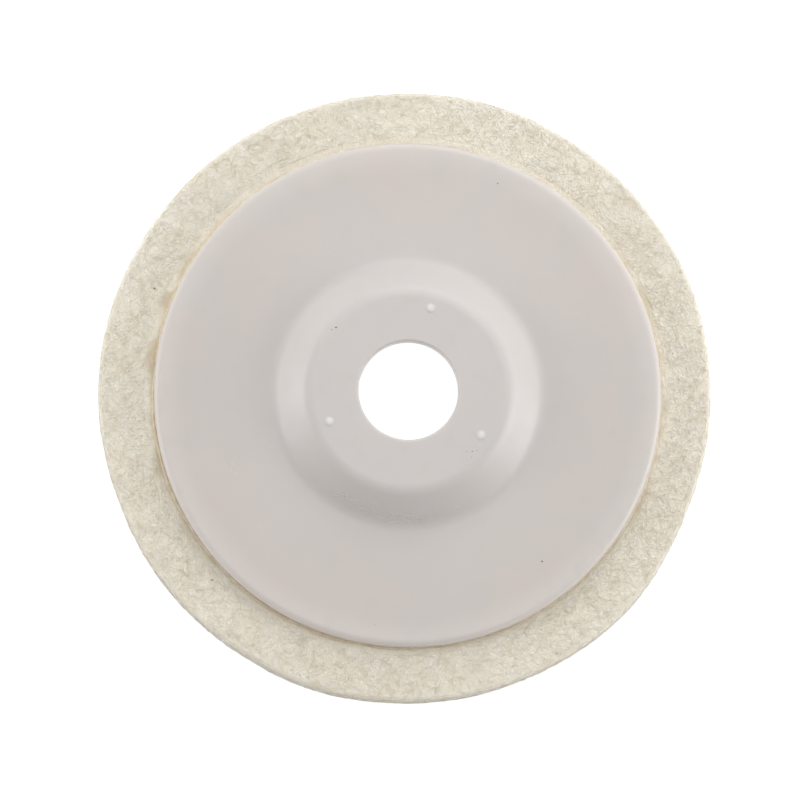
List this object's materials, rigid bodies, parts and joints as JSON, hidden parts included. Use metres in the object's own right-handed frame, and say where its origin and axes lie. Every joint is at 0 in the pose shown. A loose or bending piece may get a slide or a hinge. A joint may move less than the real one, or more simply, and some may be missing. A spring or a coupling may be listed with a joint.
{
  "type": "felt polishing wheel",
  "caption": "Flat felt annulus bonded to a white moulded plastic backing plate with a raised hollow hub and a central spindle bore.",
  "frame": {"origin": "centre of the felt's working face, on the bore's axis", "axes": "+Z along the bore's axis from the felt's working face to the hub; X and Y span the disc"},
  "size_m": [0.1, 0.1, 0.0153],
  "materials": {
    "white_plastic": "satin",
    "wool_felt": "matte",
    "adhesive": "gloss"
  },
  "bodies": {
    "root": {"backing_plate": "white_plastic", "felt_ring": "wool_felt", "adhesive_layer": "adhesive"}
  },
  "joints": []
}
